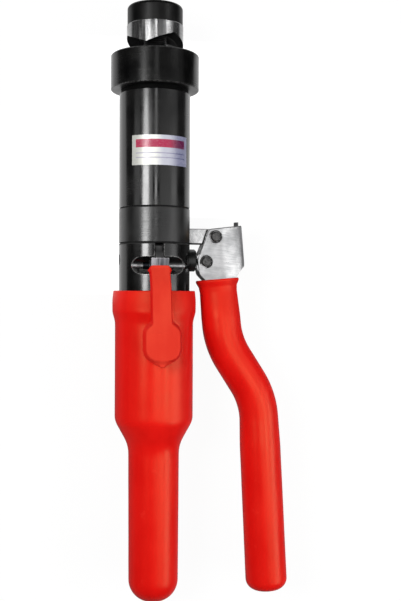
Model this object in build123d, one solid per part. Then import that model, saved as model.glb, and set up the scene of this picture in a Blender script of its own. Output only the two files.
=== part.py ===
from build123d import *
import math
import os

# Hand-pumped hydraulic hole cutter (knock-out punch driver), lying on its back.
# Millimetres. +Y runs along the tool toward the punch, +X toward the pump lever,
# +Z up. The origin is on the tool's axis, in the working face of the die.

# ---------------------------------------------------------------- driving dimensions
PUNCH_R = 23.5            # ground cutting land, a 47.0 mm hole
PUNCH_BODY_R = 23.1       # black relieved body above the land
PUNCH_TOP_Y = 41.4
PUNCH_LAND_Y = 25.3       # upper edge of the land
PUNCH_NOTCH_Y = 16.1      # cutting edge at the three notches
PUNCH_TIP_Y = 7.25        # cutting edge at the three points
PUNCH_NOTCH_DEG = (33.5, 153.5, 273.5)   # from +Z toward +X

DIE_R = 36.7
DIE_BOTTOM_Y = -28.7
DIE_BORE_R = 23.75
DIE_HOLE_R = 10.0

STUD_R = 9.5
STUD_BOTTOM_Y = -56.0
STUD_SHOULDER_Y = 43.3
STUD_NOSE_R = 4.5
STUD_NOSE_Y = 51.0

BODY_R = 29.5             # barrel, base and pump body
SEAM_W, SEAM_D = 0.9, 0.9  # grooves at the joints of the body
BORE_R = 22.0
BARREL_TOP_Y = -31.9
BASE_TOP_Y = -126.9
PUMP_TOP_Y = -156.6
PUMP_END_Y = -212.0
BOSS_END_Y = -226.0
NECK_END_Y = -236.0
ROD_R = 13.0
RAM_STROKE = 18.0

PASSAGE_X, PASSAGE_Z, PASSAGE_R = -3.0, -26.23, 1.3
PORT_Y = -57.5

PIVOT = (50.4, -150.2)    # lever's pivot pin
CRANK = (42.5, -171.3)    # pin that drives the plunger
PUMP_AXIS_Y = -170.0
SLOT_Y = -172.0            # middle of the slot in the plunger's eye
PIN_R = 4.0
CHEEK_IN, CHEEK_OUT = 6.5, 9.0
FOLD_R = 8.5              # outside radius of the head's folded back

LEVER_A = (53.7, -185.0)  # lever centreline, in plan
LEVER_B = (59.3, -239.5)
LEVER_C = (89.8, -287.0)
LEVER_D = (98.0, -449.6)
LEVER_BEND_R = 65.0
TUBE_R, TUBE_WALL = 13.4, 1.9
GRIP_R = 16.6
GRIP_LOWER_R = 17.4
GRIP_END_R = 17.7

RELEASE_Y, RELEASE_Z = -175.2, 18.6   # cross pin of the release lever
STRAP_BACK_Z = 36.6                   # underside of the dipped strap past its bend
PAD_BACK_Z, PAD_TOP_Z = 43.4, 49.5    # underside and face of the thumb pad where it begins
DIP = 1.2                             # thickness of the dipped coat
STRIP_T = 3.0
NOSE_SLOT = 3.5                       # half width of the slot above the oval pocket
SPINDLE_Y = -190.0

SLEEVE_TOP_Y = -195.6
SLEEVE_END_Y = -454.2

LABEL_Y0, LABEL_Y1, LABEL_HALF_DEG = -94.3, -70.0, 49.2
LABEL_TURN_DEG = 3.3      # the label sits a little to the right of the front


# ---------------------------------------------------------------- helpers
def cyl_x(r, x0, x1, y, z):
    return Pos((x0 + x1) / 2, y, z) * Rot(0, 90, 0) * Cylinder(r, abs(x1 - x0))


def cyl_y(r, y0, y1, x=0.0, z=0.0):
    return Pos(x, (y0 + y1) / 2, z) * Rot(90, 0, 0) * Cylinder(r, abs(y1 - y0))


def cyl_z(r, z0, z1, x, y):
    return Pos(x, y, (z0 + z1) / 2) * Cylinder(r, abs(z1 - z0))


def box(x0, x1, y0, y1, z0, z1):
    return Pos((x0 + x1) / 2, (y0 + y1) / 2, (z0 + z1) / 2) * Box(
        abs(x1 - x0), abs(y1 - y0), abs(z1 - z0)
    )


def outline(pts, radii=None):
    if radii is None:
        return make_face(Polyline(*pts, close=True))
    return make_face(FilletPolyline(*pts, radius=radii, close=True))


def lathe(pts, radii=None):
    """Turned about the tool's axis; points are (radius, y)."""
    return revolve(outline(pts, radii), Axis.Y)


def lathe_x(pts, y=0.0, z=0.0):
    """Turned about a line along X; points are (x, radius)."""
    return Pos(0, y, z) * revolve(outline(pts), Axis.X)


def ring_y(ri, ro, y0, y1):
    return lathe([(ri, y0), (ro, y0), (ro, y1), (ri, y1)])


def spring(mean_r, wire_r, turns, start, direction, length):
    path = Helix(
        pitch=length / turns, height=length, radius=mean_r, center=start, direction=direction
    )
    section = Plane(origin=path @ 0, z_dir=path % 0) * Circle(wire_r)
    return sweep(section, path=path, is_frenet=True)


def hexagon_y(across, y0, y1):
    r = across / math.sqrt(3.0)
    pts = [(r * math.cos(math.radians(60 * i)), r * math.sin(math.radians(60 * i))) for i in range(6)]
    face = Plane(origin=(0, y0, 0), x_dir=(1, 0, 0), z_dir=(0, 1, 0)) * make_face(
        Polyline(*pts, close=True)
    )
    return extrude(face, y1 - y0)


parts = {}

# ---------------------------------------------------------------- punch, die, stud
punch = lathe(
    [
        (STUD_R + 0.05, PUNCH_TOP_Y),
        (PUNCH_BODY_R, PUNCH_TOP_Y),
        (PUNCH_BODY_R, PUNCH_LAND_Y),
        (PUNCH_R, PUNCH_LAND_Y - 0.6),
        (PUNCH_R, 3.0),
        (STUD_R + 0.05, 3.0),
    ],
    [0, 3.0, 0, 0, 0, 0],
)
rise = (PUNCH_NOTCH_Y - PUNCH_TIP_Y) / 60.0
for deg in PUNCH_NOTCH_DEG:
    # V groove running outward from the axis; its edge on the land climbs evenly round the punch
    roof = [
        (PUNCH_R * math.sin(math.radians(a)), PUNCH_NOTCH_Y - rise * abs(a)) for a in range(-60, 61, 12)
    ]
    vee = make_face(Polyline(*roof, (roof[-1][0], -20), (roof[0][0], -20), close=True))
    vee = extrude(Plane(origin=(0, 0, 0), x_dir=(1, 0, 0), z_dir=(0, 0, 1)) * vee, 40)
    punch -= Rot(0, deg, 0) * vee
# hollow-ground underside
punch -= lathe([(0, 0), (22.2, 0), (22.2, PUNCH_TIP_Y), (10.5, 17.0), (0, 17.0)])
parts["punch"] = punch

parts["die"] = lathe(
    [
        (DIE_HOLE_R, DIE_BOTTOM_Y),
        (DIE_R - 0.6, DIE_BOTTOM_Y),
        (DIE_R, DIE_BOTTOM_Y + 0.6),
        (DIE_R, -0.8),
        (DIE_R - 0.8, 0.0),
        (DIE_BORE_R, 0.0),
        (DIE_BORE_R, -9.0),
        (DIE_BORE_R + 1.75, -10.5),
        (DIE_BORE_R + 1.75, -20.0),
        (DIE_HOLE_R, -20.0),
    ]
)

parts["draw_stud"] = lathe(
    [
        (0, STUD_BOTTOM_Y),
        (STUD_R - 0.8, STUD_BOTTOM_Y),
        (STUD_R, STUD_BOTTOM_Y + 0.8),
        (STUD_R, STUD_SHOULDER_Y - 0.8),
        (STUD_R - 0.8, STUD_SHOULDER_Y),
        (STUD_NOSE_R, STUD_SHOULDER_Y),
        (STUD_NOSE_R, STUD_NOSE_Y - 0.8),
        (STUD_NOSE_R - 0.8, STUD_NOSE_Y),
        (0, STUD_NOSE_Y),
    ]
)

# ---------------------------------------------------------------- cylinder
barrel = lathe(
    [
        (24.0, BASE_TOP_Y),
        (BODY_R - 0.35, BASE_TOP_Y),
        (BODY_R, BASE_TOP_Y + 0.35),
        (BODY_R, BARREL_TOP_Y - 0.8),
        (BODY_R - 0.8, BARREL_TOP_Y),
        (24.5, BARREL_TOP_Y),
        (24.5, -55.0),
        (BORE_R, -55.0),
        (BORE_R, -118.7),
        (24.0, -118.7),
    ]
)
barrel -= cyl_y(PASSAGE_R, BASE_TOP_Y - 1, PORT_Y, PASSAGE_X, PASSAGE_Z)
barrel -= cyl_z(PASSAGE_R, -32, -20, PASSAGE_X, PORT_Y)
parts["cylinder_barrel"] = barrel

parts["head_nut"] = lathe(
    [
        (ROD_R + 0.05, -54.9),
        (24.45, -54.9),
        (24.45, -52.5),
        (22.6, -52.5),
        (22.6, -50.0),
        (24.45, -50.0),
        (24.45, BARREL_TOP_Y),
        (28.1, BARREL_TOP_Y),
        (28.1, DIE_BOTTOM_Y),
        (ROD_R + 0.05, DIE_BOTTOM_Y),
        (ROD_R + 0.05, -30.2),
        (15.5, -30.2),
        (15.5, -33.7),
        (ROD_R + 0.05, -33.7),
        (ROD_R + 0.05, -48.5),
        (16.5, -48.5),
        (16.5, -53.0),
        (ROD_R + 0.05, -53.0),
    ]
)
parts["rod_seal"] = ring_y(ROD_R + 0.03, 16.45, -52.9, -48.6)
parts["rod_wiper"] = ring_y(ROD_R + 0.03, 15.45, -33.6, -30.3)
parts["head_oring"] = ring_y(22.65, 24.45, -52.4, -50.1)

parts["piston"] = lathe(
    [
        (0, -82.0),
        (11.0, -82.0),
        (12.0, -81.0),
        (12.0, -76.0),
        (21.9, -76.0),
        (21.9, -74.0),
        (20.0, -74.0),
        (20.0, -69.0),
        (21.9, -69.0),
        (21.9, -66.0),
        (18.5, -66.0),
        (18.5, -62.0),
        (21.9, -62.0),
        (21.9, -60.0),
        (ROD_R, -60.0),
        (ROD_R, -30.6),
        (ROD_R - 0.4, -30.2),
        (STUD_R + 0.05, -30.2),
        (STUD_R + 0.05, -58.0),
        (0, -58.0),
    ]
)
parts["piston_seal"] = ring_y(18.55, BORE_R - 0.03, -65.9, -62.1)
parts["piston_wear_ring"] = ring_y(20.05, BORE_R - 0.03, -73.9, -69.1)
parts["return_spring"] = spring(17.0, 2.0, 5.0, (0, -116.75, 0), (0, 1, 0), 38.6)

base = lathe(
    [
        (3.0, -148.6),
        (15.0, -148.6),
        (15.0, PUMP_TOP_Y),
        (BODY_R - SEAM_D, PUMP_TOP_Y),
        (BODY_R - SEAM_D, PUMP_TOP_Y + SEAM_W),
        (BODY_R, PUMP_TOP_Y + SEAM_W),
        (BODY_R, BASE_TOP_Y - SEAM_W),
        (BODY_R - SEAM_D, BASE_TOP_Y - SEAM_W),
        (BODY_R - SEAM_D, BASE_TOP_Y),
        (23.95, BASE_TOP_Y),
        (23.95, -124.0),
        (22.0, -124.0),
        (22.0, -121.6),
        (23.95, -121.6),
        (23.95, -118.9),
        (3.0, -118.9),
    ]
)
base -= cyl_y(PASSAGE_R, PUMP_TOP_Y - 1, BASE_TOP_Y + 1, PASSAGE_X, PASSAGE_Z)
base -= box(17.3, 40, PUMP_TOP_Y - 1, -143.4, -6.3, 6.3)
base -= cyl_z(3.0, -25, 10.2, 22.5, -150.0)
parts["cylinder_base"] = base
parts["base_oring"] = ring_y(22.05, 23.97, -123.9, -121.7)

# ---------------------------------------------------------------- pump body
pump = lathe(
    [
        (0, NECK_END_Y),
        (18.0, NECK_END_Y),
        (18.0, BOSS_END_Y),
        (24.0, BOSS_END_Y),
        (24.0, PUMP_END_Y),
        (BODY_R, PUMP_END_Y),
        (BODY_R, PUMP_TOP_Y - 0.45),
        (BODY_R - 0.45, PUMP_TOP_Y),
        (14.95, PUMP_TOP_Y),
        (14.95, -154.0),
        (13.2, -154.0),
        (13.2, -151.6),
        (14.95, -151.6),
        (14.95, -149.0),
        (0, -149.0),
    ]
)
# plunger bore and gland thread
pump -= cyl_x(4.55, -5, 18, PUMP_AXIS_Y, 0)
pump -= cyl_x(9.05, 17, 32, PUMP_AXIS_Y, 0)
# oval pocket at the front, hub pocket and cross-pin hole
pump -= cyl_x(7.3, -40, 40, RELEASE_Y, 27.9)
pump -= cyl_x(5.6, -7.7, 7.7, RELEASE_Y, RELEASE_Z)
pump -= cyl_x(3.9, -12.7, -7.6, RELEASE_Y, RELEASE_Z)
pump -= cyl_x(2.51, -21.9, 26, RELEASE_Y, RELEASE_Z)
# slot for the release lever's nose, its outer edges broken
nose_slot = outline(
    [
        (-NOSE_SLOT, 20.5), (NOSE_SLOT, 20.5), (NOSE_SLOT, 28.9), (NOSE_SLOT + 2.25, 31.15),
        (-NOSE_SLOT - 2.25, 31.15), (-NOSE_SLOT, 28.9),
    ]
)
pump -= extrude(Plane(origin=(0, PUMP_TOP_Y + 0.6, 0), x_dir=(1, 0, 0), z_dir=(0, -1, 0)) * nose_slot, 14.5)
# release valve
pump -= cyl_z(5.55, 20, 32, 0, SPINDLE_Y)
pump -= cyl_z(4.2, 10, 20.5, 0, SPINDLE_Y)
pump -= cyl_z(2.3, 3.6, 10.5, 0, SPINDLE_Y)
# suction valve
pump -= cyl_y(1.2, -171.5, -184.5, -1, -3)
pump -= cyl_y(3.6, -184.0, -199.5, -1, -3)
pump -= cyl_y(4.5, -199.2, -238.0, -1, -3)
# delivery valve and its drillings
pump -= cyl_z(1.2, -20, -2.0, -3, -173.2)
pump -= cyl_y(1.5, -174.6, -171.0, -3, -20)
pump -= cyl_y(3.6, -171.5, -160.2, -3, -20)
pump -= cyl_y(4.5, -160.5, -156.0, -3, -20)
pump -= cyl_z(PASSAGE_R, -32, -20, PASSAGE_X, -164.0)
pump -= cyl_y(PASSAGE_R, -164.0, -156.0, PASSAGE_X, PASSAGE_Z)
# return line to the reservoir
pump -= cyl_y(2.0, -238.0, -148.0, 7, -8)
# relief valve
pump -= cyl_x(1.2, -13, -4, PUMP_AXIS_Y, 0)
pump -= cyl_x(3.6, -22.5, -12, PUMP_AXIS_Y, 0)
pump -= cyl_x(4.5, -32, -22, PUMP_AXIS_Y, 0)
parts["pump_body"] = pump
parts["pump_oring"] = ring_y(13.25, 14.97, -153.9, -151.7)

gland = [
    (17.2, 4.56), (17.2, 9.0), (29.9, 9.0), (29.9, 9.3), (33.7, 9.3), (34.9, 8.1), (34.9, 4.56),
    (33.5, 4.56), (33.5, 6.0), (31.0, 6.0), (31.0, 4.56), (23.0, 4.56), (23.0, 6.5), (19.0, 6.5),
    (19.0, 4.56),
]
parts["gland_nut"] = lathe_x(gland, PUMP_AXIS_Y)
parts["plunger_seal"] = lathe_x([(19.1, 4.53), (19.1, 6.45), (22.9, 6.45), (22.9, 4.53)], PUMP_AXIS_Y)
parts["plunger_wiper"] = lathe_x([(31.1, 4.53), (31.1, 5.95), (33.4, 5.95), (33.4, 4.53)], PUMP_AXIS_Y)

seat = cyl_y(4.45, -211.0, -199.3, -1, -3) - cyl_y(1.5, -212.0, -199.0, -1, -3)
parts["suction_seat"] = seat
parts["suction_ball"] = Pos(-1, -196.65, -3) * Sphere(3.0)
parts["suction_spring"] = spring(2.4, 0.35, 5.0, (-1, -194.2, -3), (0, 1, 0), 9.7)
parts["delivery_ball"] = Pos(-3, -168.85, -20) * Sphere(3.0)
parts["delivery_spring"] = spring(2.4, 0.35, 3.0, (-3, -166.4, -20), (0, 1, 0), 5.4)
parts["delivery_plug"] = cyl_y(4.45, -160.4, -156.9, -3, -20) - cyl_y(1.6, -158.6, -156.0, -3, -20)
parts["relief_ball"] = Pos(-14.24, PUMP_AXIS_Y, 0) * Sphere(2.5)
parts["relief_spring"] = spring(2.0, 0.4, 4.0, (-16.4, PUMP_AXIS_Y, 0), (-1, 0, 0), 6.0)
socket_pts = [(2.31 * math.cos(math.radians(60 * i)), 2.31 * math.sin(math.radians(60 * i))) for i in range(6)]
socket = extrude(
    Plane(origin=(-30, PUMP_AXIS_Y, 0), x_dir=(0, 1, 0), z_dir=(1, 0, 0))
    * make_face(Polyline(*socket_pts, close=True)),
    4.5,
)
parts["relief_screw"] = lathe_x(
    [(-28.9, 0), (-28.9, 3.95), (-28.4, 4.45), (-23.0, 4.45), (-23.0, 0)], PUMP_AXIS_Y
) - socket
parts["passage_plugs"] = Compound(
    children=[
        cyl_z(PASSAGE_R - 0.02, -29.2, -27.75, PASSAGE_X, PORT_Y),
        cyl_z(PASSAGE_R - 0.02, -29.2, -27.75, PASSAGE_X, -164.0),
    ]
)

# ---------------------------------------------------------------- lug and lever
px, py = PIVOT
cx, cy = CRANK
arm = box(30.2, px, -156.4, -143.6, -6.2, 6.2)
arm = chamfer(arm.edges().filter_by(Axis.X).group_by(Axis.Y)[0], 0.8)
arm = chamfer(arm.edges().filter_by(Axis.X).group_by(Axis.Y)[-1], 0.5)
tongue = box(17.4, 30.4, -155.9, -143.6, -6.2, 6.2)
tongue = chamfer(tongue.edges().filter_by(Axis.X), 0.5)
lug = tongue + arm + cyl_z(7.0, -6.2, 6.2, px, py)
lug -= cyl_z(5.5, -7, 7, px, py)
lug -= cyl_z(3.0, -25, 10.2, 22.5, -150.0)
for z0, z1 in ((4.4, 7.0), (-7.0, -4.4)):
    # relief beside the lever's cheek
    lug -= extrude(
        Plane(origin=(0, 0, z0)) * outline([(45.1, -143.0), (43.6, -143.0), (38.8, -156.6), (40.3, -156.6)]), z1 - z0
    )
parts["pivot_lug"] = lug
parts["lug_dowel"] = cyl_z(2.98, -19.0, 10.0, 22.5, -150.0)
parts["pivot_bush"] = cyl_z(5.49, -6.2, 6.2, px, py) - cyl_z(PIN_R + 0.05, -7, 7, px, py)

head_pts = [
    (44.9, -143.8), (74.4, -140.2), (76.9, -171.0), (76.1, -174.4), (72.5, -178.0), (70.3, -181.2), (66.3, -187.0),
    (63.9, -190.8), (65.2, -203.9), (46.3, -205.8), (44.7, -190.8), (42.0, -186.6), (37.2, -181.6),
    (36.1, -175.5), (35.9, -168.6), (37.2, -164.6), (41.2, -154.4),
]
head_rad = [3.0, 2.0, 1.5, 2.0, 1.5, 2.0, 0, 0, 0, 0, 0, 1.0, 4.0, 5.0, 3.0, 3.0, 5.0]
head = extrude(outline(head_pts, head_rad), CHEEK_OUT, both=True)
# folded channel: back web along the right-hand edge, open to the left
tilt = math.atan2(2.5, 30.8)
web_dir = Vector(math.sin(tilt), -math.cos(tilt), 0)
web_plane = Plane(origin=(74.05, -136.0, 0), x_dir=(math.cos(tilt), math.sin(tilt), 0), z_dir=web_dir)
channel = make_face(
    FilletPolyline(
        (-60, -CHEEK_OUT), (0, -CHEEK_OUT), (0, CHEEK_OUT), (-60, CHEEK_OUT), radius=[0, FOLD_R, FOLD_R, 0], close=True
    )
) - make_face(
    FilletPolyline(
        (-70, -CHEEK_IN), (-2.5, -CHEEK_IN), (-2.5, CHEEK_IN), (-70, CHEEK_IN), radius=[0, FOLD_R - 2.5, FOLD_R - 2.5, 0], close=True
    )
)
head = head & extrude(web_plane * channel, 90)
head += box(69.8, 72.6, -144.5, -136.9, -9.0, -2.6) & extrude(web_plane * channel, 90)
for bx, by in (PIVOT, CRANK):
    head -= cyl_z(PIN_R + 0.01, -20, 20, bx, by)
parts["lever_head"] = head

ux, uy = LEVER_B[0] - LEVER_A[0], LEVER_B[1] - LEVER_A[1]
ul = math.hypot(ux, uy)
ux, uy = ux / ul, uy / ul


def on_lever(s):
    return (LEVER_A[0] + ux * s, LEVER_A[1] + uy * s)


def lever_plane(s):
    x, y = on_lever(s)
    return Plane(origin=(x, y, 0), x_dir=(-uy, ux, 0), z_dir=(ux, uy, 0))


def shaft(r, s0, s1):
    return extrude(lever_plane(s0) * Circle(r), s1 - s0)


def lever_lathe(pts):
    """Turned about the lever's upper centreline; points are (radius, distance along it)."""
    frame = Plane(origin=(LEVER_A[0], LEVER_A[1], 0), x_dir=(-uy, ux, 0), z_dir=(0, 0, -1))
    return frame * revolve(outline(pts), Axis.Y)


def lever_path(s0, end):
    return FilletPolyline(on_lever(s0), LEVER_B, LEVER_C, end, radius=LEVER_BEND_R)


def toward_end(back):
    dx, dy = LEVER_D[0] - LEVER_C[0], LEVER_D[1] - LEVER_C[1]
    n = math.hypot(dx, dy)
    return (LEVER_D[0] - dx / n * back, LEVER_D[1] - dy / n * back)


block = extrude(lever_plane(4.5) * Rectangle(15.0, 2 * CHEEK_IN - 0.1), 16.1)
parts["lever_spigot"] = block + shaft(TUBE_R - TUBE_WALL - 0.1, 20.6, 38.5)

tube_path = lever_path(21.0, toward_end(8.0))
tube_outer = sweep(lever_plane(21.0) * Circle(TUBE_R), path=tube_path)
tube_inner = sweep(lever_plane(21.0) * Circle(TUBE_R - TUBE_WALL), path=tube_path)
parts["lever_tube"] = tube_outer - tube_inner

def past_bend(d):
    """Point on the lower straight run, d beyond the end of the second bend."""
    b = (LEVER_B[0] - LEVER_C[0], LEVER_B[1] - LEVER_C[1])
    e = (LEVER_D[0] - LEVER_C[0], LEVER_D[1] - LEVER_C[1])
    nb, ne = math.hypot(*b), math.hypot(*e)
    inside = math.acos((b[0] * e[0] + b[1] * e[1]) / (nb * ne))
    t = LEVER_BEND_R / math.tan(inside / 2) + d
    return (LEVER_C[0] + e[0] / ne * t, LEVER_C[1] + e[1] / ne * t)


join = past_bend(2.0)
grip = sweep(lever_plane(2.0) * Circle(GRIP_R), path=lever_path(2.0, join))
lower_len = math.hypot(LEVER_D[0] - join[0], LEVER_D[1] - join[1])
lx, ly = (LEVER_D[0] - join[0]) / lower_len, (LEVER_D[1] - join[1]) / lower_len
lower = Plane(origin=(join[0], join[1], 0), x_dir=(-ly, lx, 0), z_dir=(0, 0, -1)) * revolve(
    outline(
        [(0, 0), (GRIP_R, 0), (GRIP_LOWER_R, 22.0), (GRIP_END_R, lower_len), (0, lower_len)],
        [0, 0, 200.0, 9.0, 0],
    ),
    Axis.Y,
)
grip += lower
grip += lever_lathe([(13.0, 9.0), (GRIP_R, 9.0), (16.9, 6.5), (18.3, 2.5), (18.3, 1.2), (17.6, 0.5), (13.0, 0.5)])
grip -= sweep(lever_plane(20.9) * Circle(TUBE_R + 0.05), path=lever_path(20.9, toward_end(7.9)))
grip -= shaft(13.5, -1.0, 21.0)
grip -= lever_lathe([(0, -1.0), (17.0, -1.0), (17.0, 0.3), (13.5, 6.8), (0, 6.8)])
parts["lever_grip"] = grip


def lever_pin(x, y):
    half = [
        (0, -11.4), (3.5, -11.4), (4.0, -10.9), (4.0, -10.15), (3.5, -10.15), (3.5, -9.05), (4.0, -9.05),
        (4.0, 9.05), (3.5, 9.05), (3.5, 10.15), (4.0, 10.15), (4.0, 10.9), (3.5, 11.4), (0, 11.4),
    ]
    return Pos(x, y, 0) * Rot(90, 0, 0) * lathe(half)


parts["pivot_pin"] = lever_pin(px, py)
parts["plunger_pin"] = lever_pin(cx, cy)


def clip(x, y, z0, z1, deg):
    """E-shaped retaining ring: three inner prongs, open toward deg."""
    c = cyl_z(5.4, z0, z1, 0, 0) - cyl_z(4.5, z0 - 1, z1 + 1, 0, 0)
    for a in (62, 180, 298):
        c += Rot(0, 0, a) * box(3.0, 4.8, -1.0, 1.0, z0, z1)
    c -= cyl_z(3.52, z0 - 1, z1 + 1, 0, 0)
    c -= box(2.2, 8, -2.9, 2.9, z0 - 1, z1 + 1)
    return Pos(x, y, 0) * Rot(0, 0, deg) * c


parts["pin_clips"] = Compound(
    children=[
        clip(*at, *z, deg) for at, deg in ((PIVOT, 200), (CRANK, 235)) for z in ((9.1, 10.1), (-10.1, -9.1))
    ]
)
parts["plunger_spacers"] = Compound(
    children=[
        cyl_z(6.8, z0, z1, cx, cy) - cyl_z(PIN_R + 0.02, z0 - 1, z1 + 1, cx, cy)
        for z0, z1 in ((4.8, 6.4), (-6.4, -4.8))
    ]
)

# plunger with a cross-slotted eye
eye = box(35.4, 49.6, SLOT_Y - 7.6, SLOT_Y + 7.6, -4.5, 4.5)
eye = fillet(eye.edges().filter_by(Axis.Z), 4.0)
plunger = eye + cyl_x(4.5, -2.0, 36.0, PUMP_AXIS_Y, 0)
for dy in (-0.95, 0.95):
    plunger -= cyl_z(PIN_R + 0.2, -6, 6, cx, SLOT_Y + dy)
plunger -= box(cx - PIN_R - 0.2, cx + PIN_R + 0.2, SLOT_Y - 0.95, SLOT_Y + 0.95, -6, 6)
parts["pump_plunger"] = plunger

# ---------------------------------------------------------------- release lever and valve
core_back = STRAP_BACK_Z + DIP
yz = Plane(origin=(0, 0, 0), x_dir=(0, 1, 0), z_dir=(1, 0, 0))


def side_plate(pts, half, radii=None):
    """Plate whose edge view is given as (y, z), spread evenly about X = 0."""
    return extrude(yz * outline(pts, radii), half, both=True)


nose = side_plate(
    [(-170.6, 30.8), (-164.6, 25.0), (-159.4, 24.4), (-159.4, 26.6), (-163.6, 27.4), (-169.7, 33.4)], NOSE_SLOT - 0.5
)


def release_plate(side, half, plan):
    """Plate bent as its edge view (y, z), trimmed to a plan outline given for its right half (x, y)."""
    both = plan + [(-x, y) for x, y in reversed(plan)]
    return side_plate(side, half) & extrude(Plane(origin=(0, 0, 20)) * outline(both), 60)


strip = release_plate(
    [
        (-169.3, 30.65), (-178.5, 30.8), (-192.0, core_back), (-226.3, PAD_BACK_Z + DIP), (-253.0, PAD_BACK_Z + DIP + 2.6),
        (-253.0, PAD_BACK_Z + DIP + 2.6 + STRIP_T), (-226.0, PAD_BACK_Z + DIP + STRIP_T), (-191.0, core_back + STRIP_T),
        (-177.6, 33.9), (-169.3, 33.65),
    ],
    20.0,
    [(7.2, -165.0), (7.2, -222.0), (12.8, -229.0), (12.8, -244.8), (2.4, -251.5)],
)
hub = cyl_x(5.0, -7.2, 7.2, RELEASE_Y, RELEASE_Z) + cyl_x(3.4, -12.2, -7.0, RELEASE_Y, RELEASE_Z)
web = box(-7.2, 7.2, RELEASE_Y - 3.2, RELEASE_Y + 3.2, RELEASE_Z, 32.0)
release = nose + strip + hub + web
release -= cyl_x(2.56, -14, 10, RELEASE_Y, RELEASE_Z)
parts["release_lever"] = release

dip = release_plate(
    [
        (-175.0, 31.9), (-178.2, 32.0), (-178.8, 29.6), (-191.8, STRAP_BACK_Z), (-226.0, PAD_BACK_Z),
        (-258.0, PAD_BACK_Z + 2.9), (-258.0, PAD_TOP_Z + 2.5), (-227.5, PAD_TOP_Z),
        (-191.0, STRAP_BACK_Z + STRIP_T + 2 * DIP), (-177.2, 35.1), (-175.0, 35.0),
    ],
    20.0,
    [(8.75, -170.0), (8.75, -220.3), (15.7, -227.0), (15.7, -248.0), (13.2, -250.6), (2.4, -256.6)],
)
parts["release_paddle"] = dip - release
parts["release_pin"] = cyl_x(2.5, -21.8, 22.3, RELEASE_Y, RELEASE_Z)

parts["release_bush"] = cyl_z(5.5, 20.0, 28.8, 0, SPINDLE_Y) - cyl_z(2.55, 19, 30, 0, SPINDLE_Y)
spindle = cyl_z(2.5, 11.2, 34.1, 0, SPINDLE_Y) + cyl_z(4.0, 17.5, 19.7, 0, SPINDLE_Y)
spindle += cyl_z(1.5, 8.9, 11.3, 0, SPINDLE_Y)
spindle = chamfer(spindle.edges().filter_by(GeomType.CIRCLE).sort_by(Axis.Z)[-1], 0.8)
parts["release_spindle"] = spindle
parts["release_ball"] = Pos(0, SPINDLE_Y, 6.8) * Sphere(2.0)
parts["release_spring"] = spring(3.4, 0.4, 3.0, (0, SPINDLE_Y, 10.6), (0, 0, 1), 6.3)

# ---------------------------------------------------------------- handle and reservoir
housing = lathe(
    [
        (24.05, -212.1), (29.4, -212.1), (29.4, -300.0), (17.0, -330.0), (17.0, -444.0), (6.0, -444.0),
        (6.0, -434.0), (14.5, -434.0), (14.5, -329.4), (26.6, -299.2), (26.6, -231.0), (24.05, -229.0),
    ]
)
parts["handle_housing"] = housing
parts["handle_sleeve"] = lathe(
    [
        (29.6, SLEEVE_TOP_Y), (34.1, SLEEVE_TOP_Y), (34.9, -203.5), (34.8, -213.5), (32.6, -221.5), (32.65, -303.6),
        (21.2, -324.4), (20.6, SLEEVE_END_Y), (0, SLEEVE_END_Y), (0, -444.2), (17.2, -444.2), (17.2, -330.1), (29.6, -300.1),
    ],
    [0, 0.8, 40, 12, 18, 16, 28, 18.0, 0, 0, 0, 0, 0],
)
parts["oil_bladder"] = lathe(
    [
        (18.05, -227.0), (20.0, -227.0), (20.0, -238.0), (25.6, -244.0), (25.6, -296.0), (13.6, -327.0),
        (13.6, -421.0), (9.0, -428.0), (0, -428.0), (0, -426.4), (8.2, -426.4), (12.1, -420.4),
        (12.1, -326.6), (24.1, -295.4), (24.1, -244.7), (18.05, -238.6),
    ]
)
parts["bladder_clamp"] = ring_y(20.05, 22.5, -235.0, -229.5)
parts["filler_plug"] = lathe(
    [(0, -435.0), (5.95, -435.0), (5.95, -443.5), (5.45, -444.0), (0, -444.0)]
) - hexagon_y(5.0, -444.5, -440.0)

# ---------------------------------------------------------------- blank label plate
plate = revolve(
    outline([(BODY_R + 0.02, LABEL_Y0), (BODY_R + 0.3, LABEL_Y0), (BODY_R + 0.3, LABEL_Y1), (BODY_R + 0.02, LABEL_Y1)]),
    Axis.Y,
    revolution_arc=2 * LABEL_HALF_DEG,
)
middle = plate.center()
plate = Rot(0, math.degrees(math.atan2(middle.Z, middle.X)) - 90 + LABEL_TURN_DEG, 0) * plate
parts["blank_label"] = plate

# ---------------------------------------------------------------- write
os.makedirs("parts", exist_ok=True)
for name, solid in parts.items():
    export_step(solid, f"parts/{name}.step")
print(len(parts), "nodes written")
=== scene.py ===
"""Looks of a hand-pumped hydraulic hole cutter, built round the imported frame.
Metres. +Y runs along the tool toward the punch, +X toward the pump lever, +Z up."""

import math

import bmesh
import bpy
from mathutils import Matrix, Vector, noise


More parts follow.
